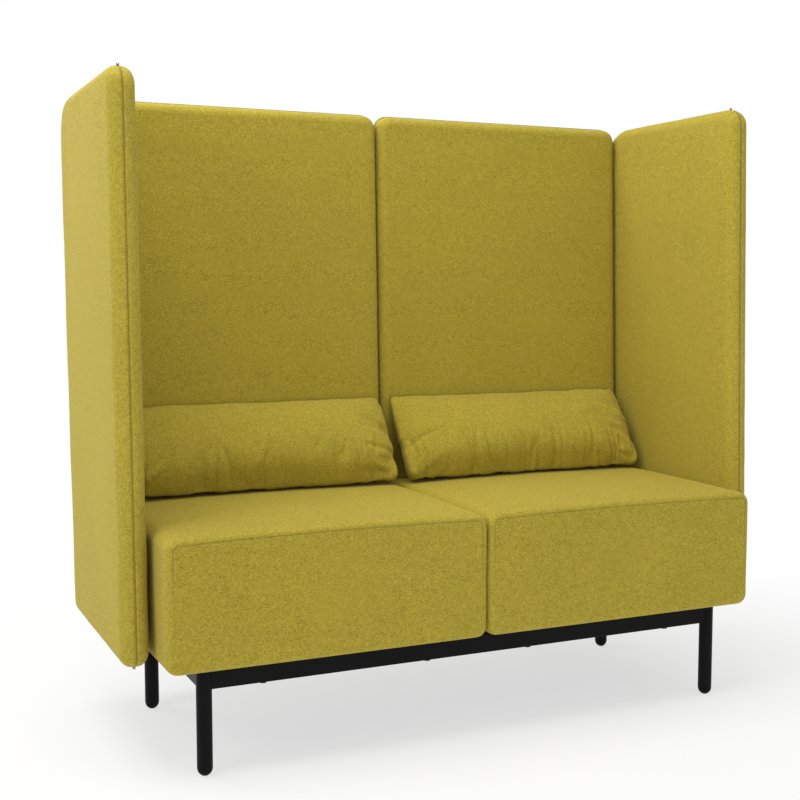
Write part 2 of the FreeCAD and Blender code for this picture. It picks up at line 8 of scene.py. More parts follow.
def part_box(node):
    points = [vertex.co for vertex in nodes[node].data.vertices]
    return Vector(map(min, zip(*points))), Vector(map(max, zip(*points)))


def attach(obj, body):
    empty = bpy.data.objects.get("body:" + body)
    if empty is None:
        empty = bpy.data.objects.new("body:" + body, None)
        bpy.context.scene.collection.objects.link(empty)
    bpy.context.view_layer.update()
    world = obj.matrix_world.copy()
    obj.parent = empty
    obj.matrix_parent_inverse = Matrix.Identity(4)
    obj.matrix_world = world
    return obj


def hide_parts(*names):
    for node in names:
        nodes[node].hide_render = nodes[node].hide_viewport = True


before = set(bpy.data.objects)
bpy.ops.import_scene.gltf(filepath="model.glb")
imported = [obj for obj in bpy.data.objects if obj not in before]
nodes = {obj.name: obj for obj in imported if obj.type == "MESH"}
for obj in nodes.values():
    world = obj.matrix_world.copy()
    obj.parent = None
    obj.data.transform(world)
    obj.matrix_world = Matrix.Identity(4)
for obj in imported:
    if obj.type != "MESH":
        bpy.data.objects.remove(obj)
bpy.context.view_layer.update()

scene = bpy.context.scene
sideNames = ("left", "right")
seedSteps = (7.3, 3.1, 5.7)       # take each seed to its own part of the noise
print("frame loaded:", len(nodes), "nodes")


def smoothStep(low, high, value):
    share = min(max((value - low) / (high - low), 0.0), 1.0)
    return share * share * (3 - 2 * share)


def softNoise(point, size, seed):
    return noise.noise(point / size + Vector([seed * step for step in seedSteps]))


def faceOutward(bm):
    bmesh.ops.recalc_face_normals(bm, faces=bm.faces)
    if bm.calc_volume(signed=True) < 0:      # a folded seam can mislead the line above
        bmesh.ops.reverse_faces(bm, faces=bm.faces)


def newPiece(name, bm, material, levels=1):
    faceOutward(bm)
    mesh = bpy.data.meshes.new(name)
    bm.to_mesh(mesh)
    bm.free()
    mesh.materials.append(material)
    mesh.shade_smooth()
    piece = bpy.data.objects.new(name, mesh)
    scene.collection.objects.link(piece)
    if levels:
        soften = piece.modifiers.new("soften", "SUBSURF")
        soften.levels = levels
        soften.render_levels = levels
    return piece


# materials: a little wiring help, then one function for each finish
noiseSpan = (0.3, 0.7)            # nearly all values of a noise texture lie between these
waveBand = 0.314                  # width of one band of a wave texture at scale 1


def startMaterial(name):
    material = bpy.data.materials.new(name)
    material.use_nodes = True
    tree = material.node_tree
    shader = tree.nodes["Principled BSDF"]
    coords = tree.nodes.new("ShaderNodeTexCoord")
    return material, tree, shader, coords.outputs["Object"]


def feedSocket(tree, socket, value):
    if isinstance(value, bpy.types.NodeSocket):
        tree.links.new(value, socket)
    elif isinstance(value, tuple):
        socket.default_value = (*value, 1.0)
    else:
        socket.default_value = value


def addNoise(tree, vector, scale, detail=2.0, roughness=0.5, stretch=None):
    if stretch:
        mapping = tree.nodes.new("ShaderNodeMapping")
        mapping.inputs["Scale"].default_value = stretch
        tree.links.new(vector, mapping.inputs["Vector"])
        vector = mapping.outputs["Vector"]
    node = tree.nodes.new("ShaderNodeTexNoise")
    node.inputs["Scale"].default_value = scale
    node.inputs["Detail"].default_value = detail
    node.inputs["Roughness"].default_value = roughness
    tree.links.new(vector, node.inputs["Vector"])
    return node.outputs["Fac"]


def addRamp(tree, value, stops):
    ramp = tree.nodes.new("ShaderNodeValToRGB")
    while len(ramp.color_ramp.elements) < len(stops):
        ramp.color_ramp.elements.new(0.5)
    for element, (place, colour) in zip(ramp.color_ramp.elements, stops):
        element.position = place
        element.color = (*colour, 1.0)
    tree.links.new(value, ramp.inputs["Fac"])
    return ramp.outputs["Color"]


def addRange(tree, value, before, after):
    node = tree.nodes.new("ShaderNodeMapRange")
    node.inputs["From Min"].default_value, node.inputs["From Max"].default_value = before
    node.inputs["To Min"].default_value, node.inputs["To Max"].default_value = after
    tree.links.new(value, node.inputs["Value"])
    return node.outputs["Result"]


def addMath(tree, operation, first, second):
    node = tree.nodes.new("ShaderNodeMath")
    node.operation = operation
    feedSocket(tree, node.inputs[0], first)
    feedSocket(tree, node.inputs[1], second)
    return node.outputs["Value"]


def addMix(tree, factor, first, second, blend="MIX"):
    node = tree.nodes.new("ShaderNodeMix")
    node.data_type = "RGBA"
    node.blend_type = blend
    feedSocket(tree, node.inputs["Factor"], factor)
    feedSocket(tree, node.inputs[6], first)       # 6 and 7 are the two colours, 2 is the mixed one
    feedSocket(tree, node.inputs[7], second)
    return node.outputs[2]


def addBump(tree, height, strength, distance, before=None):
    node = tree.nodes.new("ShaderNodeBump")
    node.inputs["Strength"].default_value = strength
    node.inputs["Distance"].default_value = distance
    tree.links.new(height, node.inputs["Height"])
    if before:
        tree.links.new(before, node.inputs["Normal"])
    return node.outputs["Normal"]


def addAttribute(tree, name):
    node = tree.nodes.new("ShaderNodeAttribute")
    node.attribute_name = name
    return node.outputs["Fac"]


def plugIn(tree, shader, colour, roughness, normal):
    feedSocket(tree, shader.inputs["Base Color"], colour)
    feedSocket(tree, shader.inputs["Roughness"], roughness)
    feedSocket(tree, shader.inputs["Normal"], normal)


def scaledColour(colour, factor):
    return tuple(part * factor for part in colour)


# mustard melange wool cloth: dyed yarn in several shades, dark flecks, felted nap, painted shade in the
# seams and a painted highlight in patches along the rounded edges
woolCloth = {
    "shades": ((0.30, (0.205, 0.152, 0.014)), (0.44, (0.350, 0.272, 0.028)),
               (0.56, (0.438, 0.346, 0.038)), (0.72, (0.575, 0.472, 0.070))),
    "yarnSize": 0.0023,
    "yarnStretch": (0.80, 0.80, 1.35),
    "yarnShare": 0.86,            # the rest of the shade comes from broader blotches
    "blotchScale": 110.0,
    "fleck": (0.118, 0.082, 0.008),
    "fleckScale": 400.0,
    "fleckStretch": (1.0, 1.0, 1.45),
    "fleckSpan": (0.600, 0.67),
    "fleckMost": 0.66,
    "driftScale": 4.5,            # slow drift of the dye lot and of the nap
    "drift": ((0.30, (0.97, 0.97, 0.965)), (0.70, (1.025, 1.025, 1.03))),
    # painted highlight: paler cloth in patches along the rounded edges, strongest beside the seams
    "edgeHighlightShade": (0.500, 0.415, 0.080),
    "highlightSpan": (0.35, 0.70),
    "edgeHighlightMost": 0.26,
    # painted shade: darker cloth down in the seam grooves
    "seamPaintedShade": (0.130, 0.092, 0.010),
    "seamShadeMost": 0.58,
    "threadsApart": 0.0017,
    "threadWander": 2.6,
    "threadBump": (0.22, 0.0006),     # strength and height
    "yarnBump": (0.38, 0.0011),
    "napScale": 34.0,
    "napBump": (0.06, 0.003),
    "roughness": (0.98, 0.86),
    "sheenTint": (1.0, 0.90, 0.40, 1.0),
}


def addThreads(tree, place):
    # crossing threads, each wave flat on the faces that it runs square to
    threads = 0.0
    for axis in "XYZ":
        wave = tree.nodes.new("ShaderNodeTexWave")
        wave.bands_direction = axis
        wave.inputs["Scale"].default_value = waveBand / woolCloth["threadsApart"]
        wave.inputs["Distortion"].default_value = woolCloth["threadWander"]
        wave.inputs["Detail"].default_value = 2.0
        wave.inputs["Detail Scale"].default_value = 1.6
        tree.links.new(place, wave.inputs["Vector"])
        threads = addMath(tree, "ADD", threads, wave.outputs["Fac"])
    return threads


def makeWoolCloth():
    material, tree, shader, place = startMaterial("mustardWoolCloth")
    yarn = addNoise(tree, place, 1 / woolCloth["yarnSize"], detail=4.0, roughness=0.62,
                    stretch=woolCloth["yarnStretch"])
    blotch = addNoise(tree, place, woolCloth["blotchScale"], detail=3.0, roughness=0.55)
    yarnPart = addMath(tree, "MULTIPLY", yarn, woolCloth["yarnShare"])
    blotchPart = addMath(tree, "MULTIPLY", blotch, 1 - woolCloth["yarnShare"])
    colour = addRamp(tree, addMath(tree, "ADD", yarnPart, blotchPart), woolCloth["shades"])
    fleckNoise = addNoise(tree, place, woolCloth["fleckScale"], stretch=woolCloth["fleckStretch"])
    flecks = addRange(tree, fleckNoise, woolCloth["fleckSpan"], (0.0, woolCloth["fleckMost"]))
    colour = addMix(tree, flecks, colour, woolCloth["fleck"])
    broad = addNoise(tree, place, woolCloth["driftScale"], detail=3.0)
    colour = addMix(tree, 1.0, colour, addRamp(tree, broad, woolCloth["drift"]), "MULTIPLY")
    # painted highlight on the rounded edges and beside the seams, in patches
    highlightPatches = addRange(tree, blotch, woolCloth["highlightSpan"], (0.0, woolCloth["edgeHighlightMost"]))
    edgeHighlight = addMath(tree, "MULTIPLY", addAttribute(tree, "edge"), highlightPatches)
    colour = addMix(tree, edgeHighlight, colour, woolCloth["edgeHighlightShade"])
    # painted shade in the seam grooves
    seam = addMath(tree, "MULTIPLY", addAttribute(tree, "seam"), woolCloth["seamShadeMost"])
    colour = addMix(tree, seam, colour, woolCloth["seamPaintedShade"])
    normal = addBump(tree, addThreads(tree, place), *woolCloth["threadBump"])
    normal = addBump(tree, yarn, *woolCloth["yarnBump"], normal)
    nap = addNoise(tree, place, woolCloth["napScale"], detail=3.0, roughness=0.6)
    normal = addBump(tree, nap, *woolCloth["napBump"], normal)
    plugIn(tree, shader, colour, addRange(tree, yarn, noiseSpan, woolCloth["roughness"]), normal)
    shader.inputs["Specular IOR Level"].default_value = 0.18
    shader.inputs["Sheen Weight"].default_value = 0.15
    shader.inputs["Sheen Roughness"].default_value = 0.55
    shader.inputs["Sheen Tint"].default_value = woolCloth["sheenTint"]
    return material


# powder coat and nylon: faint clouds, light specks and a fine grain
coating = {
    "cloudScale": 9.0,
    "cloudStops": (0.35, 0.75),
    "cloudLighter": 1.7,
    "speckScale": 0.6,            # times the scale of the grain
    "speckSpan": (0.66, 0.74),
    "speckMost": 0.5,
    "speckLighter": 2.6,
    "speckLift": 0.002,
    "dullSpread": (-0.06, 0.10),
    "grainBump": (0.20, 0.0004),      # strength and height
}


def makeCoating(name, colour, roughness, grain):
    material, tree, shader, place = startMaterial(name)
    cloud = addNoise(tree, place, coating["cloudScale"], detail=3.0, roughness=0.55)
    tones = (colour, scaledColour(colour, coating["cloudLighter"]))
    shade = addRamp(tree, cloud, tuple(zip(coating["cloudStops"], tones)))
    speckNoise = addNoise(tree, place, grain * coating["speckScale"], detail=1.0)
    specks = addRange(tree, speckNoise, coating["speckSpan"], (0.0, coating["speckMost"]))
    speckShade = tuple(part * coating["speckLighter"] + coating["speckLift"] for part in colour)
    dullness = addRange(tree, cloud, noiseSpan, [roughness + spread for spread in coating["dullSpread"]])
    normal = addBump(tree, addNoise(tree, place, grain), *coating["grainBump"])
    plugIn(tree, shader, addMix(tree, specks, shade, speckShade), dullness, normal)
    shader.inputs["Specular IOR Level"].default_value = 0.09
    return material


# zinc plating, bright or black
plating = {
    "bright": ((0.42, 0.43, 0.44), (0.56, 0.57, 0.58), (0.62, 0.60, 0.52)),
    "black": ((0.020, 0.020, 0.021), (0.030, 0.030, 0.031), (0.045, 0.042, 0.038)),
    "cloudScale": 160.0,
    "cloudStops": (0.30, 0.55, 0.75),
    "roughness": (0.24, 0.42),
    "grainScale": 900.0,
    "grainBump": (0.12, 0.0002),
}


def makePlatedSteel(name, shades):
    material, tree, shader, place = startMaterial(name)
    cloud = addNoise(tree, place, plating["cloudScale"], detail=4.0, roughness=0.6)
    tint = addRamp(tree, cloud, tuple(zip(plating["cloudStops"], shades)))
    normal = addBump(tree, addNoise(tree, place, plating["grainScale"]), *plating["grainBump"])
    plugIn(tree, shader, tint, addRange(tree, cloud, noiseSpan, plating["roughness"]), normal)
    shader.inputs["Metallic"].default_value = 1.0
    return material


# timber: streaks along the grain, with darker pores
timber = {
    "streakStops": (0.32, 0.52, 0.72),
    "lateWood": 0.86,             # times the light shade
    "poreScale": 5,               # times the scale of the streaks
    "poreSpan": (0.60, 0.70),
    "poreMost": 0.45,
    "poreDarker": 0.55,
    "poreBump": (0.25, 0.0005),
    "roughness": (0.52, 0.70),
}


def makeTimber(name, light, dark, stretch, rings):
    material, tree, shader, place = startMaterial(name)
    streak = addNoise(tree, place, rings, detail=5.0, roughness=0.6, stretch=stretch)
    pore = addNoise(tree, place, rings * timber["poreScale"], stretch=stretch)
    shades = (dark, light, scaledColour(light, timber["lateWood"]))
    grain = addRamp(tree, streak, tuple(zip(timber["streakStops"], shades)))
    pores = addRange(tree, pore, timber["poreSpan"], (0.0, timber["poreMost"]))
    colour = addMix(tree, pores, grain, scaledColour(dark, timber["poreDarker"]))
    dullness = addRange(tree, streak, noiseSpan, timber["roughness"])
    plugIn(tree, shader, colour, dullness, addBump(tree, pore, *timber["poreBump"]))
    return material


# black non-woven under the seats, with its spot bonds
dustFelt = {
    "shades": ((0.32, (0.010, 0.010, 0.011)), (0.70, (0.034, 0.034, 0.036))),
    "fibreScale": 420.0,
    "fibreStretch": (1.0, 3.2, 1.0),
    "bondScale": 340.0,
    "bondBump": (0.35, 0.0004),
    "roughness": (0.78, 0.94),
}


def makeDustFelt():
    material, tree, shader, place = startMaterial("blackDustCloth")
    fibre = addNoise(tree, place, dustFelt["fibreScale"], detail=4.0, roughness=0.7,
                     stretch=dustFelt["fibreStretch"])
    bonds = tree.nodes.new("ShaderNodeTexVoronoi")
    bonds.inputs["Scale"].default_value = dustFelt["bondScale"]
    tree.links.new(place, bonds.inputs["Vector"])
    normal = addBump(tree, bonds.outputs["Distance"], *dustFelt["bondBump"])
    dullness = addRange(tree, fibre, noiseSpan, dustFelt["roughness"])
    plugIn(tree, shader, addRamp(tree, fibre, dustFelt["shades"]), dullness, normal)
    return material


# twisted sewing thread
sewingThread = {
    "shades": ((0.2, (0.110, 0.095, 0.012)), (0.8, (0.230, 0.195, 0.024))),
    "twistScale": 380.0,
    "twistBump": (0.4, 0.0003),
    "roughness": 0.7,
}


def makeSewingThread():
    material, tree, shader, place = startMaterial("oliveSeamThread")
    twist = tree.nodes.new("ShaderNodeTexWave")
    twist.bands_direction = "DIAGONAL"
    twist.inputs["Scale"].default_value = sewingThread["twistScale"]
    tree.links.new(place, twist.inputs["Vector"])
    shade = addRamp(tree, twist.outputs["Fac"], sewingThread["shades"])
    normal = addBump(tree, twist.outputs["Fac"], *sewingThread["twistBump"])
    plugIn(tree, shader, shade, sewingThread["roughness"], normal)
    return material


wool = makeWoolCloth()
seamThread = makeSewingThread()
dustCloth = makeDustFelt()
powderCoat = makeCoating("blackPowderCoat", (0.0020, 0.0021, 0.0023), roughness=0.44, grain=900.0)
glideNylon = makeCoating("blackNylon", (0.0024, 0.0024, 0.0025), roughness=0.55, grain=1500.0)
zincSteel = makePlatedSteel("zincPlatedSteel", plating["bright"])
blackZinc = makePlatedSteel("blackZincSteel", plating["black"])
plywood = makeTimber("birchPlywood", light=(0.60, 0.44, 0.27), dark=(0.44, 0.29, 0.15),
                     stretch=(0.10, 1.0, 1.0), rings=55.0)
beech = makeTimber("beechDowel", light=(0.62, 0.42, 0.25), dark=(0.47, 0.29, 0.15),
                   stretch=(1.0, 1.0, 0.12), rings=140.0)
print("materials made")


# frame pieces keep their CAD shape and get the finish that they have
def dressNode(name):
    if "glides" in name:
        return glideNylon
    if "rail" in name or name.startswith("leg") or "brackets" in name:
        return powderCoat
    if "core" in name or "deck" in name:
        return plywood
    if "dowels" in name:
        return beech
    if "dust_cloth" in name:
        return dustCloth
    if "bolts" in name or "bracket_screws" in name or "link" in name:
        return blackZinc          # these show under the rails and in the gaps between the panels
    return zincSteel


for nodeName, nodeObject in nodes.items():
    for materialSlot in nodeObject.material_slots:
        materialSlot.material = dressNode(nodeName)
print("frame pieces dressed")


# soft pieces start as a flat grid with rounded corners; its rim is extruded ring by ring to the
# middle of the piece and mirrored there
leastCorner = 0.003               # the corners of a ring stay at least this round
weldDistance = 0.00001


def clothCut(piece, halfWidth, halfHeight):
    return {"halfWidth": halfWidth, "halfHeight": halfHeight,
            "corners": piece["corners"], "cornerCells": piece["cornerCells"],
            "cellsX": 2 * round(halfWidth / piece["cell"]),
            "cellsY": 2 * round(halfHeight / piece["cell"])}


def gridSplit(share, cells, cornerCells):
    straight = cells / 2 - cornerCells
    position = abs(share) * cells / 2
    if position <= straight:
        return position / straight, 0.0
    return 1.0, (position - straight) / cornerCells


def roundedPlace(across, up, cut, inset):
    straightX, cornerX = gridSplit(across, cut["cellsX"], cut["cornerCells"])
    straightY, cornerY = gridSplit(up, cut["cellsY"], cut["cornerCells"])
    topShare = 0.5 + 0.5 * math.copysign(straightY, up)
    farShare = 0.5 + 0.5 * math.copysign(straightX, across)
    (nearBottom, farBottom), (nearTop, farTop) = cut["corners"]
    bottomRadius = nearBottom * (1 - farShare) + farBottom * farShare
    topRadius = nearTop * (1 - farShare) + farTop * farShare
    radius = max(bottomRadius * (1 - topShare) + topRadius * topShare, inset + leastCorner)
    stepX, stepY = cornerX * (radius - inset), cornerY * (radius - inset)
    if stepX > 0 and stepY > 0:
        pull = max(stepX, stepY) / math.hypot(stepX, stepY)
        stepX, stepY = stepX * pull, stepY * pull
    return (math.copysign(straightX * (cut["halfWidth"] - radius) + stepX, across),
            math.copysign(straightY * (cut["halfHeight"] - radius) + stepY, up))


def growRim(bm, rim):
    made = bmesh.ops.extrude_edge_only(bm, edges=rim)["geom"]
    ring = [item for item in made if isinstance(item, bmesh.types.BMVert)]
    rim = [item for item in made if isinstance(item, bmesh.types.BMEdge) and item.is_boundary]
    return ring, rim


def sewnHalves(cut, rings):
    # rings: how far in from the edge, how far out from the middle, seam share (also the mask of the painted
    # seam shade), share of painted highlight
    bm = bmesh.new()
    gridPlace = bm.verts.layers.float_vector.new("gridPlace")
    seamShare = bm.verts.layers.float.new("seam")
    highlightShare = bm.verts.layers.float.new("edge")
    bmesh.ops.create_grid(bm, x_segments=cut["cellsX"], y_segments=cut["cellsY"], size=1.0)
    inset, out, seam, edge = rings[0]
    for vert in bm.verts:
        vert[gridPlace] = vert.co.copy()
        vert.co = (*roundedPlace(vert.co.x, vert.co.y, cut, inset), out)
        if vert.is_boundary:
            vert[seamShare], vert[highlightShare] = seam, edge
    rim = [rimEdge for rimEdge in bm.edges if rimEdge.is_boundary]
    for inset, out, seam, edge in rings[1:]:
        ring, rim = growRim(bm, rim)
        for vert in ring:
            vert.co = (*roundedPlace(vert[gridPlace].x, vert[gridPlace].y, cut, inset), out)
            vert[seamShare], vert[highlightShare] = seam, edge
    half = bm.verts[:] + bm.edges[:] + bm.faces[:]
    bmesh.ops.mirror(bm, geom=half, merge_dist=weldDistance, axis="Z")
    return bm


def quarterRound(radius, half, share):
    turn = math.radians(90 * share)
    return radius * (1 - math.sin(turn)), half - radius * (1 - math.cos(turn))


# wings and backs are panels: foam on a plywood core, two covers and a seam down the middle of the edge
panel = {
    "roundSteps": 6,
    "seamMouth": (0.0001, 0.0034),    # how far in, and half the width there
    "seamSlope": 0.0016,
    "seamFloor": 0.0008,
    "faceSpan": (0.25, 0.95), # from the edge to the broad face, as shares of the half thickness
    "highlightSpan": (0.2, 0.9),   # how the painted highlight grows round the edge
    "settle": 0.6,            # the share of the crown by which each face sits back
    "fineWave": 0.4,          # small waves, as a share of the broad ones
    "facesApart": 3,          # gives the two faces waves of their own
}


def coverBox(side, name, halves):
    boxes = [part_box(f"{side}_{name}_{half}_cover") for half in halves]
    low = Vector([min(box[0][axis] for box in boxes) for axis in range(3)])
    high = Vector([max(box[1][axis] for box in boxes) for axis in range(3)])
    return low, high


def panelRings(piece, halfThick):
    rings = []
    # the last two numbers of each ring are its shares of painted seam shade and of painted highlight
    for step in range(panel["roundSteps"] + 1):
        share = step / panel["roundSteps"]
        inset, out = quarterRound(piece["edgeRadius"], halfThick, share)
        rings.append((inset, out, 0.0, smoothStep(*panel["highlightSpan"], share)))
    rings.append((*panel["seamMouth"], 0.0, 0.8))
    rings.append((piece["seamDepth"], panel["seamSlope"], 0.35, 0.2))
    rings.append((piece["seamLip"], panel["seamFloor"], 0.9, 0.0))
    rings.append((piece["seamLip"], 0.0, 1.0, 0.0))
    return rings


def faceShare(out, halfThick):
    return smoothStep(*panel["faceSpan"], abs(out) / halfThick)


def crownShare(shareX, shareY):
    return (1 - shareX ** 4) * (1 - shareY ** 4)


def clothWave(piece, spot, seed):
    broadSize, fineSize = piece["waveSizes"]
    fine = panel["fineWave"] * softNoise(spot, fineSize, seed + 3)
    return piece["wave"] * (softNoise(spot, broadSize, seed) + fine)


wing = {
    "frontLean": 0.030,       # how far the front edge runs back from foot to top
    "rearLean": 0.055,
    "corners": ((0.030, 0.030), (0.040, 0.092)),      # front and rear, foot then top
    "cornerShort": 0.75,      # how much of the rear top radius keeps short of the leaned edge
    "cornerCells": 7,
    "cell": 0.0095,
    "edgeRadius": 0.024,
    "crown": 0.0022,
    "wave": 0.0011,
    "waveSizes": (0.11, 0.04),
    "pucker": 0.0011,
    "puckerSizes": (0.022, 0.07),
    "broadPucker": 0.8,
    "drawnIn": 0.5,           # even pull of the seam, as a share of the pucker
    "rimSpan": (0.93, 1.0),   # where the pucker starts and is full, as shares of the way to the edge
    "seamDepth": 0.0013,
    "seamLip": 0.0005,
}


def makeWing(side, seed):
    low, high = coverBox(side, "wing", ("inner", "outer"))
    centre = (low + high) / 2
    frontFoot = low.y
    rearRadius = wing["corners"][1][1]
    rearTop = high.y + wing["rearLean"] * rearRadius * wing["cornerShort"] / (high.z - low.z)
    rearFoot = rearTop - wing["rearLean"]
    halfWidth = (rearFoot - frontFoot + wing["rearLean"] / 2 - wing["frontLean"] / 2) / 2
    halfHeight = (high.z - low.z) / 2
    halfThick = (high.x - low.x) / 2
    bm = sewnHalves(clothCut(wing, halfWidth, halfHeight), panelRings(wing, halfThick))
    fineSize, broadSize = wing["puckerSizes"]
    for vert in bm.verts:
        across, up, out = vert.co
        shareX, shareY = across / halfWidth, up / halfHeight
        spot = Vector((out * panel["facesApart"], across, up))
        face = faceShare(out, halfThick)
        swell = wing["crown"] * crownShare(shareX, shareY) + clothWave(wing, spot, seed)
        settle = wing["crown"] * panel["settle"]
        out += math.copysign(swell * face, out) - math.copysign(settle * face, out)
        # stitching gathers the cloth a little beside the seam, so the silhouette isn't dead straight
        broadGather = wing["broadPucker"] * softNoise(spot, broadSize, seed + 6)
        gather = wing["pucker"] * (softNoise(spot, fineSize, seed + 5) + broadGather)
        rim = smoothStep(*wing["rimSpan"], max(abs(shareX), abs(shareY)))
        drawn = wing["pucker"] * wing["drawnIn"]
        across -= math.copysign(gather * rim, across) + math.copysign(drawn * rim, across)
        up -= math.copysign(gather * rim, up) + math.copysign(drawn * rim, up)
        height = (up + halfHeight) / (2 * halfHeight)
        front = frontFoot + wing["frontLean"] * height
        rear = rearFoot + wing["rearLean"] * height
        vert.co = (centre.x + out, front + (across / halfWidth + 1) / 2 * (rear - front), centre.z + up)
    piece = newPiece(f"{side}_wing_upholstery", bm, wool)
    parts = [f"{half}_{part}" for half in ("inner", "outer") for part in ("cover", "foam")]
    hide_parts(*[f"{side}_wing_{part}" for part in parts])
    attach(piece, "sofa")


# loose thread ends where the wing seam starts and stops
threadEnds = {
    "thick": 0.0018,
    "length": 0.0056,
    "steps": 5,
    "sides": 6,
    "taper": 0.86,
    "sunk": 0.0015,           # how deep a thread starts in the cloth
    "turns": (-0.55, 0.35),   # the way that each thread of a pair bends
    "apart": 1.3,
    "curl": (0.35, 0.25),
    "topStart": 0.95,         # shares of the corner radius
    "footStart": 0.9,
    "topHeading": (0.0, -0.25, 1.0),
    "footHeading": (0.0, -0.35, -1.0),
}


def makeThread(bm, start, heading, turn):
    thick, steps = threadEnds["thick"], threadEnds["steps"]
    curlX, curlY = threadEnds["curl"]
    ring = bmesh.ops.create_circle(bm, segments=threadEnds["sides"], radius=thick)["verts"]
    aside = Vector((turn * threadEnds["apart"] * thick, 0.0, 0.0))
    bmesh.ops.translate(bm, verts=ring, vec=start + aside)
    rim = list({edge for vert in ring for edge in vert.link_edges})
    for step in range(steps):
        ring, rim = growRim(bm, rim)
        way = heading + Vector((turn * curlX * step, turn * curlY * step, 0.0))
        bmesh.ops.translate(bm, verts=ring, vec=way.normalized() * threadEnds["length"] / steps)
        centre = sum((vert.co for vert in ring), Vector()) / len(ring)
        bmesh.ops.scale(bm, verts=ring, vec=[threadEnds["taper"]] * 3, space=Matrix.Translation(-centre))
    bmesh.ops.contextual_create(bm, geom=rim)


def makeThreadEnds(side):
    low, high = coverBox(side, "wing", ("inner", "outer"))
    middle = (low.x + high.x) / 2
    footRadius, topRadius = [front for front, rear in wing["corners"]]
    topY = low.y + wing["frontLean"] + topRadius * threadEnds["topStart"]
    footY = low.y + footRadius * threadEnds["footStart"]
    topStart = Vector((middle, topY, high.z - threadEnds["sunk"]))
    footStart = Vector((middle, footY, low.z + threadEnds["sunk"]))
    bm = bmesh.new()
    for turn in threadEnds["turns"]:
        makeThread(bm, topStart, Vector(threadEnds["topHeading"]), turn)
    for turn in threadEnds["turns"]:
        makeThread(bm, footStart, Vector(threadEnds["footHeading"]), turn)
    openEdges = [edge for edge in bm.edges if edge.is_boundary]
    bmesh.ops.holes_fill(bm, edges=openEdges, sides=threadEnds["sides"])
    piece = newPiece(f"{side}_wing_thread_ends", bm, seamThread, 0)
    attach(piece, "sofa")


for seed, side in enumerate(sideNames, 1):
    makeWing(side, seed)
    makeThreadEnds(side)
print("wings made")


# backs: two leaned panels side by side
back = {
    "lean": math.radians(2.0),
    "thickness": 0.056,
    "corners": ((0.040, 0.040), (0.032, 0.032)),
    "cornerCells": 6,
    "cell": 0.0100,
    "edgeRadius": 0.023,
    "crown": 0.0016,
    "wave": 0.0011,
    "waveSizes": (0.12, 0.045),
    "pucker": 0.0004,
    "puckerSize": 0.03,
    "rimSpan": (0.94, 1.0),
    "seamDepth": 0.0012,
    "seamLip": -0.0022,       # below zero: the seam stands out as a lip
}


def makeBack(side, seed):
    low, high = coverBox(side, "back", ("front", "rear"))
    centre = (low + high) / 2
    halfWidth = (high.x - low.x) / 2
    halfHeight = (high.z - low.z) / 2 / math.cos(back["lean"])
    halfThick = back["thickness"] / 2
    bm = sewnHalves(clothCut(back, halfWidth, halfHeight), panelRings(back, halfThick))
    for vert in bm.verts:
        across, up, out = vert.co
        shareX, shareY = across / halfWidth, up / halfHeight
        spot = Vector((across, up, out * panel["facesApart"]))
        swell = back["crown"] * (crownShare(shareX, shareY) - panel["settle"])
        swell += clothWave(back, spot, seed)
        out += math.copysign(swell * faceShare(out, halfThick), out)
        gather = back["pucker"] * (1.0 + softNoise(spot, back["puckerSize"], seed + 5))
        rim = smoothStep(*back["rimSpan"], max(abs(shareX), abs(shareY)))
        across -= math.copysign(gather * rim, across)
        up -= math.copysign(gather * rim, up)
        vert.co = (across, -out, up)
    lean = Matrix.Rotation(-back["lean"], 3, "X")
    bmesh.ops.rotate(bm, verts=bm.verts, cent=(0, 0, 0), matrix=lean)
    bmesh.ops.translate(bm, verts=bm.verts, vec=centre)
    piece = newPiece(f"{side}_back_upholstery", bm, wool)
    parts = [f"{half}_{part}" for half in ("front", "rear") for part in ("cover", "foam")]
    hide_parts(*[f"{side}_back_{part}" for part in parts])
    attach(piece, "sofa")


for seed, side in enumerate(sideNames, 11):
    makeBack(side, seed)
print("backs made")


# seats: one wrap over top, sides and underside, sewn to a front and a rear panel
seat = {
    "corners": ((0.022, 0.022), (0.026, 0.026)),
    "cornerCells": 4,
    "cell": 0.0105,
    "frontRadius": 0.012,
    "roundSteps": 4,
    "seamDepth": 0.0016,
    "seamRings": (0.0026, 0.0011, -0.0004),   # panel, groove and wrap, in from the rounded edge
    "lipDrop": 0.0002,
    # how strong the painted seam shade is on the seat
    "seamShadeMost": 0.75,
    "seamSpan": (-0.5, 0.7),  # spans run from none to full, as shares of the way from middle to edge
    "crown": 0.008,
    "crownSpan": (-0.2, 1.0),
    "topSpan": (0.90, 1.0),
    "frontSpan": (0.965, 1.0),
    "sideSpan": (0.97, 1.0),
    "frontSwell": 0.0030,
    "frontSettle": 0.4,       # the share of the swell by which the front sits back
    "wave": 0.0010,
    "waveSizes": (0.13, 0.10, 0.09),          # top, front and sides
    "topWave": 0.7,
    "topSettle": 0.5,
    "undersideLift": 0.0016,  # keeps the dust cloth the lowest face
}


def seatRings(halfDepth):
    radius = seat["frontRadius"]
    panelEdge, groove, wrapEdge = seat["seamRings"]
    # the last two numbers of each ring are its seam share (groove and painted seam shade) and its share of
    # painted highlight
    rings = [(radius + panelEdge, halfDepth, 0.0, 0.0),
             (radius + groove, halfDepth - seat["seamDepth"], 1.0, 0.0),
             (radius + wrapEdge, halfDepth - seat["lipDrop"], 0.0, 0.7)]
    for step in range(1, seat["roundSteps"] + 1):
        share = step / seat["roundSteps"]
        inset, out = quarterRound(radius, halfDepth, share)
        rings.append((inset, out, 0.0, 0.8 * (1 - share)))
    flat = halfDepth - radius
    steps = round(flat / seat["cell"])
    rings += [(0.0, flat * (1 - step / steps), 0.0, 0.0) for step in range(1, steps + 1)]
    return rings


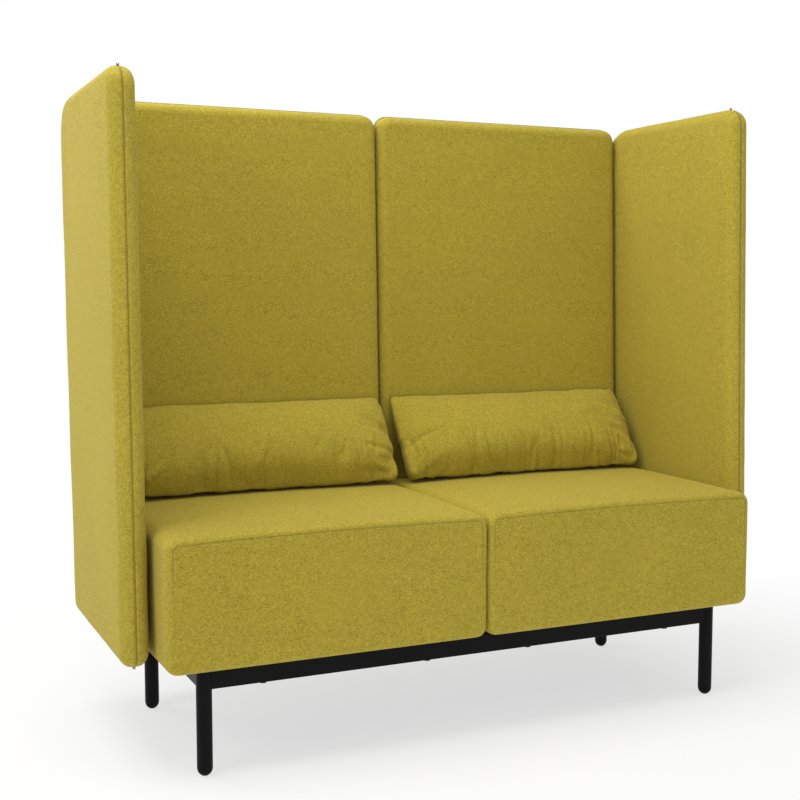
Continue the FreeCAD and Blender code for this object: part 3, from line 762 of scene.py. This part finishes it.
def seatFrame(side):
    low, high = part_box(f"{side}_seat_cover")
    return low, high, high.z - seat["crown"]


def seatCrown(low, high, across, along):
    reach = ((high.x - low.x) ** 2 + (high.y - low.y) ** 2) / 4
    return seat["crown"] * (1 - (across ** 2 + along ** 2) / reach)


def makeSeat(side, seed):
    low, high, top = seatFrame(side)
    centre = (low + high) / 2
    halfWidth, halfDepth = (high.x - low.x) / 2, (high.y - low.y) / 2
    foot = low.z + seat["undersideLift"]
    halfHeight = (top - foot) / 2
    bm = sewnHalves(clothCut(seat, halfWidth, halfHeight), seatRings(halfDepth))
    seamShare = bm.verts.layers.float["seam"]
    wave = seat["wave"]
    topSize, frontSize, sideSize = seat["waveSizes"]
    for vert in bm.verts:
        across, up, out = vert.co
        shareX, shareY, shareZ = across / halfWidth, up / halfHeight, out / halfDepth
        spot = Vector((across, up, out))
        topFace = smoothStep(*seat["topSpan"], shareY)
        endFace = smoothStep(*seat["frontSpan"], abs(shareZ))
        sideFace = smoothStep(*seat["sideSpan"], abs(shareX)) * (1 - endFace)
        lift = seatCrown(low, high, across, out) * smoothStep(*seat["crownSpan"], shareY)
        lift += topFace * wave * (seat["topWave"] * softNoise(spot, topSize, seed) - seat["topSettle"])
        swell = seat["frontSwell"] * ((1 - shareX ** 2) * (1 - shareY ** 2) - seat["frontSettle"])
        swell += wave * softNoise(spot, frontSize, seed + 2)
        across += math.copysign(sideFace * wave * (1 - softNoise(spot, sideSize, seed + 4)), across)
        out += math.copysign(endFace * swell, out)
        # the front seam and its painted shade show along the top and die away down the sides
        keep = smoothStep(*seat["seamSpan"], shareY)
        out += math.copysign(vert[seamShare] * seat["seamDepth"] * (1 - keep), out)
        vert[seamShare] *= seat["seamShadeMost"] * keep
        vert.co = (centre.x + across, centre.y - out, foot + halfHeight + up + lift)
    piece = newPiece(f"{side}_seat_upholstery", bm, wool)
    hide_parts(*[f"{side}_seat_{part}" for part in ("cover", "front_panel", "foam", "deck")])
    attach(piece, "sofa")


# dust cloth under each seat, pulled flat and stapled a little inside the edge
dustSheet = {"margin": 0.024, "cells": (26, 20), "lift": 0.0008, "thick": 0.00072}


def makeDustSheet(side):
    low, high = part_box(f"{side}_seat_dust_cloth")
    centre = (low + high) / 2
    width = high.x - low.x - 2 * dustSheet["margin"]
    depth = high.y - low.y - 2 * dustSheet["margin"]
    cellsX, cellsY = dustSheet["cells"]
    bm = bmesh.new()
    bmesh.ops.create_grid(bm, x_segments=cellsX, y_segments=cellsY, size=0.5)
    bmesh.ops.scale(bm, verts=bm.verts, vec=(width, depth, 1.0))
    bmesh.ops.translate(bm, verts=bm.verts, vec=(centre.x, centre.y, low.z + dustSheet["lift"]))
    bmesh.ops.solidify(bm, geom=bm.faces[:], thickness=-dustSheet["thick"])
    piece = newPiece(f"{side}_dust_sheet", bm, dustCloth, 0)
    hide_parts(f"{side}_seat_dust_cloth")
    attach(piece, "sofa")


for seed, side in enumerate(sideNames, 21):
    makeSeat(side, seed)
    makeDustSheet(side)
print("seats made")


# loose cushions: a sewn bag, roughly filled, is blown up by cloth simulation and stood on the seat
cushion = {
    "flatWidth": 0.664,
    "flatHeight": 0.246,
    "size": (0.640, 0.222, 0.112),
    "corners": ((0.022, 0.022), (0.014, 0.014)),
    "cornerCells": 5,
    "cell": 0.0046,
    "endBow": 0.004,
    "bowSpan": (0.70, 1.0),   # spans run from none to full, as shares of the way from middle to edge
    "seamInset": 0.0035,      # the first row of points beside the seam
    "seamHalf": 0.0030,
    "startFill": 0.047,       # half thickness before the simulation
    "uneven": 0.14,           # lumps in the filling, as a share of it
    "unevenSize": 0.05,
    "simScale": 8.0,          # solved larger than life, where the solver is calmer
    "pressure": 1.1,
    "frames": 22,
    "cap": 0.030,             # no point moves farther than this in the simulation
    "endHold": (0.78, 0.99),  # spans where the straight seams hold the cloth
    "edgeHold": (0.70, 0.99),
    "edgeHoldMost": 0.85,
    "cornerFill": 0.019,      # filling pushed into the lower corners
    "fillFoot": (0.1, -0.5),
    "fillEnds": (0.80, 0.98),
    "cornerFrom": (0.82, -0.40),          # beyond these shares the corners are smoothed
    "cornerPasses": 3,
    "calmEnds": (0.88, 0.97),             # and take no creases
    "calmFoot": (-0.40, -0.75),
    "endCrease": 0.0062,
    "endCreaseSize": (0.110, 0.027),      # along and across the crease
    "endCreaseSlant": 0.30,
    "endCreaseWidth": 0.32,
    "endSpan": (0.60, 0.90),
    "endStop": (0.975, 1.0),
    "endPatch": 0.06,         # creases come and go over this distance
    "endPatchSpan": (-0.35, 0.15),
    "lowCrease": 0.0074,
    "lowCreaseSize": (0.110, 0.026),
    "lowCreaseWidth": 0.30,
    "lowSpan": (0.10, -0.50),
    "lowStop": (-0.93, -1.0),
    "lowPatch": 0.09,
    "lowPatchSpan": (-0.35, 0.20),
    "billow": 0.0022,
    "billowSize": 0.060,
    "scallop": 0.0018,
    "scallopSize": 0.017,
    "scallopSpan": (0.90, 1.0),
    "scallopSide": (0.8, 1.0),
    "slump": 0.17,            # how much fuller the foot is than the top
    "slumpSpan": (0.5, -0.7),
    "tilt": math.radians(33.0),
    "topSeam": (0.2155, 0.655),           # where the upper seam leans on the back, y and z
    "clearSeat": 0.0012,
    "clearBack": 0.0014,
}


def cutBag(seed):
    halfWidth, halfHeight = cushion["flatWidth"] / 2, cushion["flatHeight"] / 2
    # the seam ring carries painted seam shade, the ring beside it a little painted highlight
    rings = [(cushion["seamInset"], cushion["seamHalf"], 0.0, 0.3), (0.0, 0.0, 0.8, 0.0)]
    bm = sewnHalves(clothCut(cushion, halfWidth, halfHeight), rings)
    for vert in bm.verts:
        shareX, shareY = vert.co.x / halfWidth, vert.co.y / halfHeight
        dome = max(1 - shareX ** 8, 0) ** 0.5 * max(1 - shareY ** 2, 0) ** 0.78
        spot = Vector((vert.co.x, vert.co.y, seed))
        lumps = 1 + cushion["uneven"] * softNoise(spot, cushion["unevenSize"], seed)
        vert.co.z *= 1.0 + dome * lumps * (cushion["startFill"] / cushion["seamHalf"] - 1)
        bow = cushion["endBow"] * (1 - shareY ** 2) * smoothStep(*cushion["bowSpan"], abs(shareX))
        vert.co.x += math.copysign(bow, vert.co.x)
    return bm


def blowUp(bm, name):
    scale = cushion["simScale"]
    faceOutward(bm)
    mesh = bpy.data.meshes.new(name)
    bm.to_mesh(mesh)
    mesh.transform(Matrix.Scale(scale, 4))
    bag = bpy.data.objects.new(name, mesh)
    scene.collection.objects.link(bag)
    cloth = bag.modifiers.new("cloth", "CLOTH")
    settings = cloth.settings
    settings.quality = 5
    settings.mass = 0.3
    settings.tension_stiffness = 40
    settings.compression_stiffness = 40
    settings.shear_stiffness = 14
    settings.bending_stiffness = 0.3
    settings.tension_damping = 10
    settings.compression_damping = 10
    settings.shear_damping = 10
    settings.air_damping = 8
    settings.use_pressure = True
    settings.uniform_pressure_force = cushion["pressure"]
    settings.effector_weights.gravity = 0
    cloth.point_cache.frame_start = 1
    cloth.point_cache.frame_end = cushion["frames"]
    for frameNumber in range(1, cushion["frames"] + 1):
        scene.frame_set(frameNumber)
    solved = bag.evaluated_get(bpy.context.evaluated_depsgraph_get()).to_mesh()
    moved = [vert.co / scale for vert in solved.vertices]
    bpy.data.objects.remove(bag)
    scene.frame_set(1)
    for vert, place in zip(bm.verts, moved):
        step = place - vert.co
        if step.length > cushion["cap"]:
            step *= cushion["cap"] / step.length
        vert.co += step


def straightenSeams(bm, flatPlaces, reach):
    # the sewn edges keep the straight lines that they were cut to, and leave no ears at the corners
    halfWidth, halfHeight = cushion["flatWidth"] / 2, cushion["flatHeight"] / 2
    for vert, flat in zip(bm.verts, flatPlaces):
        hold = smoothStep(*cushion["endHold"], abs(flat.x) / halfWidth)
        vert.co.x += (flat.x * reach.x / (halfWidth + cushion["endBow"]) - vert.co.x) * hold
        hold = cushion["edgeHoldMost"] * smoothStep(*cushion["edgeHold"], abs(flat.y) / halfHeight)
        vert.co.y += (flat.y * reach.y / halfHeight - vert.co.y) * hold


def fillCorners(bm):
    width, height = cushion["size"][:2]
    seamShare = bm.verts.layers.float["seam"]
    radius = cushion["corners"][0][0]
    farOut, lowDown = cushion["cornerFrom"]
    for vert in bm.verts:
        shareX, shareY = vert.co.x / width * 2, vert.co.y / height * 2
        fromEnd, fromFoot = width / 2 - abs(vert.co.x), height / 2 + vert.co.y
        gap = min(fromEnd, fromFoot)
        if max(fromEnd, fromFoot) < radius:
            gap = radius - math.hypot(radius - fromEnd, radius - fromFoot)
        bend = 1 - min(max(gap / cushion["cornerFill"], 0.0), 1.0)
        nearFoot = smoothStep(*cushion["fillFoot"], shareY)
        nearEnd = smoothStep(*cushion["fillEnds"], abs(shareX))
        full = cushion["cornerFill"] * math.sqrt(1 - bend ** 2) * nearFoot * nearEnd
        if vert[seamShare] < 0.5 and abs(vert.co.z) < full:
            vert.co.z = math.copysign(full, vert.co.z)
    corners = [vert for vert in bm.verts
               if abs(vert.co.x) > farOut * width / 2 and vert.co.y < lowDown * height / 2]
    for smoothing in range(cushion["cornerPasses"]):
        bmesh.ops.smooth_vert(bm, verts=corners, factor=0.5,
                              use_axis_x=True, use_axis_y=True, use_axis_z=True)


def creaseLine(x, y, seed, width):
    # 1 on thin wandering lines, 0 between them
    return max(0.0, 1 - abs(noise.noise(Vector((x, y, seed * 1.7)))) / width)


def endCreases(x, y, shareX, seed):
    # short ones that fan from the sewn ends
    along, apart = cushion["endCreaseSize"]
    ends = smoothStep(*cushion["endSpan"], abs(shareX)) * (1 - smoothStep(*cushion["endStop"], abs(shareX)))
    slant = y + cushion["endCreaseSlant"] * abs(x)
    patch = noise.noise(Vector((y / cushion["endPatch"], math.copysign(3.0, x), seed * 2.3)))
    line = creaseLine(x / along, slant / apart, seed, cushion["endCreaseWidth"])
    return cushion["endCrease"] * line * ends * smoothStep(*cushion["endPatchSpan"], patch)


def lowCreases(x, y, shareY, seed):
    # upright ones where the filling slumps to the foot
    along, apart = cushion["lowCreaseSize"]
    foot = smoothStep(*cushion["lowSpan"], shareY) * (1 - smoothStep(*cushion["lowStop"], shareY))
    patch = noise.noise(Vector((x / cushion["lowPatch"], seed, 0.0)))
    line = creaseLine(x / apart, y / along, seed + 4, cushion["lowCreaseWidth"])
    return cushion["lowCrease"] * line * foot * smoothStep(*cushion["lowPatchSpan"], patch)


def pressCreases(bm, seed):
    width, height = cushion["size"][:2]
    bm.normal_update()
    for vert in bm.verts:
        x, y, z = vert.co
        shareX, shareY = x / width * 2, y / height * 2
        billow = cushion["billow"] * softNoise(Vector((x, y, z * 0.5)), cushion["billowSize"], seed + 8)
        press = endCreases(x, y, shareX, seed) + lowCreases(x, y, shareY, seed) - billow
        # the filled lower corners stay smooth
        calm = 1 - smoothStep(*cushion["calmEnds"], abs(shareX)) * smoothStep(*cushion["calmFoot"], shareY)
        vert.co -= vert.normal * calm * press
        rim = smoothStep(*cushion["scallopSpan"], max(abs(shareX), abs(shareY)))
        ripple = softNoise(Vector((vert.co.x, vert.co.y, 0.0)), cushion["scallopSize"], seed + 9)
        pull = cushion["scallop"] * rim * calm * (0.5 + ripple)
        vert.co.x -= math.copysign(pull, vert.co.x) * smoothStep(*cushion["scallopSide"], abs(shareX))
        vert.co.y -= math.copysign(pull, vert.co.y) * smoothStep(*cushion["scallopSide"], abs(shareY))
        vert.co.z *= 1 + cushion["slump"] * (smoothStep(*cushion["slumpSpan"], shareY) - 0.5)


def standOnSeat(bm, side):
    height = cushion["size"][1]
    for vert in bm.verts:
        across, up, out = vert.co
        vert.co = (across, -out, up - height / 2)
    tilt = Matrix.Rotation(-cushion["tilt"], 3, "X")
    bmesh.ops.rotate(bm, verts=bm.verts, cent=(0, 0, 0), matrix=tilt)
    coverLow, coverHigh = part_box(f"{side}_cushion_front_cover")
    middle = (coverLow.x + coverHigh.x) / 2
    bmesh.ops.translate(bm, verts=bm.verts, vec=(middle, *cushion["topSeam"]))
    # where it rests, it lies flat against the seat and the back
    seatLow, seatHigh, seatTop = seatFrame(side)
    seatCentre = (seatLow + seatHigh) / 2
    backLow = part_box(f"{side}_back_front_cover")[0]
    for vert in bm.verts:
        crown = seatCrown(seatLow, seatHigh, vert.co.x - seatCentre.x, vert.co.y - seatCentre.y)
        vert.co.z = max(vert.co.z, seatTop + crown + cushion["clearSeat"])
        wallY = backLow.y + math.tan(back["lean"]) * (vert.co.z - backLow.z) - cushion["clearBack"]
        vert.co.y = min(vert.co.y, wallY)


def makeCushion(side, seed):
    bm = cutBag(seed)
    flatPlaces = [vert.co.xy for vert in bm.verts]
    blowUp(bm, f"{side}CushionBag")
    reach = Vector([max(abs(vert.co[axis]) for vert in bm.verts) for axis in range(3)])
    print(f"{side} cushion blown up to", [round(2000 * part) for part in reach], "mm")
    straightenSeams(bm, flatPlaces, reach)
    bmesh.ops.scale(bm, verts=bm.verts, vec=[cushion["size"][axis] / 2 / reach[axis] for axis in range(3)])
    fillCorners(bm)
    pressCreases(bm, seed)
    standOnSeat(bm, side)
    piece = newPiece(f"{side}_cushion_cover", bm, wool)
    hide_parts(*[f"{side}_cushion_{part}" for part in ("front_cover", "rear_cover", "fill")])
    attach(piece, f"{side}_cushion")


for seed, side in enumerate(sideNames, 31):
    makeCushion(side, seed)
print("cushions made")


# studio: white floor that keeps the shadow, soft light from above and from the left
studio = {
    "floorRadius": 7.0,
    "floorTones": ((0.3, (0.86, 0.86, 0.86)), (0.7, (0.89, 0.89, 0.89))),
    "floorGlow": 0.62,            # share of plain white in the floor near the sofa
    "glowSpan": (0.5, 1.7),       # from the middle of the sofa to where the floor is all white
    "worldLight": 0.37,
    # name, place, target, size, power
    "lamps": (("topLight", (-0.8, -0.1, 3.3), (0.0, -0.1, 0.4), 2.4, 86.0),
              ("leftLight", (-3.4, -1.2, 1.7), (0.0, 0.0, 0.5), 2.0, 32.0),
              ("frontLight", (0.3, -4.0, 0.8), (0.0, 0.0, 0.3), 2.0, 27.0),
              ("rakeLight", (-2.4, 2.4, 1.3), (-0.75, 0.0, 0.7), 1.4, 24.0)),
}


def makeFloor():
    material, tree, shader, place = startMaterial("whiteFloor")
    tone = addRamp(tree, addNoise(tree, place, 3.0, detail=3.0), studio["floorTones"])
    tree.links.new(tone, shader.inputs["Base Color"])
    shader.inputs["Roughness"].default_value = 0.9
    shader.inputs["Specular IOR Level"].default_value = 0.0
    white = tree.nodes.new("ShaderNodeEmission")
    mix = tree.nodes.new("ShaderNodeMixShader")
    far = tree.nodes.new("ShaderNodeVectorMath")
    far.operation = "LENGTH"
    tree.links.new(place, far.inputs[0])
    glow = addRange(tree, far.outputs["Value"], studio["glowSpan"], (studio["floorGlow"], 1.0))
    tree.links.new(glow, mix.inputs["Fac"])
    tree.links.new(shader.outputs["BSDF"], mix.inputs[1])
    tree.links.new(white.outputs["Emission"], mix.inputs[2])
    tree.links.new(mix.outputs["Shader"], tree.nodes["Material Output"].inputs["Surface"])
    bm = bmesh.new()
    bmesh.ops.create_circle(bm, cap_ends=True, segments=64, radius=studio["floorRadius"])
    floor = newPiece("studioFloor", bm, material, 0)


def makeWorld():
    world = bpy.data.worlds.new("studioWorld")
    scene.world = world
    world.use_nodes = True
    tree = world.node_tree
    background = tree.nodes["Background"]
    path = tree.nodes.new("ShaderNodeLightPath")
    seen = addMath(tree, "MAXIMUM", path.outputs["Is Camera Ray"], path.outputs["Is Glossy Ray"])
    seen = addMath(tree, "MAXIMUM", seen, path.outputs["Is Transmission Ray"])
    strength = addRange(tree, seen, (0.0, 1.0), (studio["worldLight"], 1.0))
    tree.links.new(strength, background.inputs["Strength"])
    background.inputs["Color"].default_value = (1.0, 1.0, 1.0, 1.0)


def makeLamps():
    for name, place, target, size, power in studio["lamps"]:
        light = bpy.data.lights.new(name, "AREA")
        light.energy = power
        light.size = size
        lamp = bpy.data.objects.new(name, light)
        lamp.location = place
        lamp.rotation_euler = (Vector(target) - Vector(place)).to_track_quat("-Z", "Y").to_euler()
        scene.collection.objects.link(lamp)


camera = {
    "place": (-1.20024, -2.51006, 0.91061),
    "down": math.radians(5.07),
    "turn": math.radians(24.532),
    "lens": 56.763,
    "sensor": 36.0,
}


def makeCamera():
    data = bpy.data.cameras.new("photoCamera")
    data.lens = camera["lens"]
    data.sensor_width = camera["sensor"]
    eye = bpy.data.objects.new("photoCamera", data)
    eye.location = camera["place"]
    eye.rotation_euler = (math.radians(90) - camera["down"], 0.0, -camera["turn"])
    scene.collection.objects.link(eye)
    scene.camera = eye


makeFloor()
makeWorld()
makeLamps()
makeCamera()
scene.view_settings.view_transform = "Standard"
print("studio made")
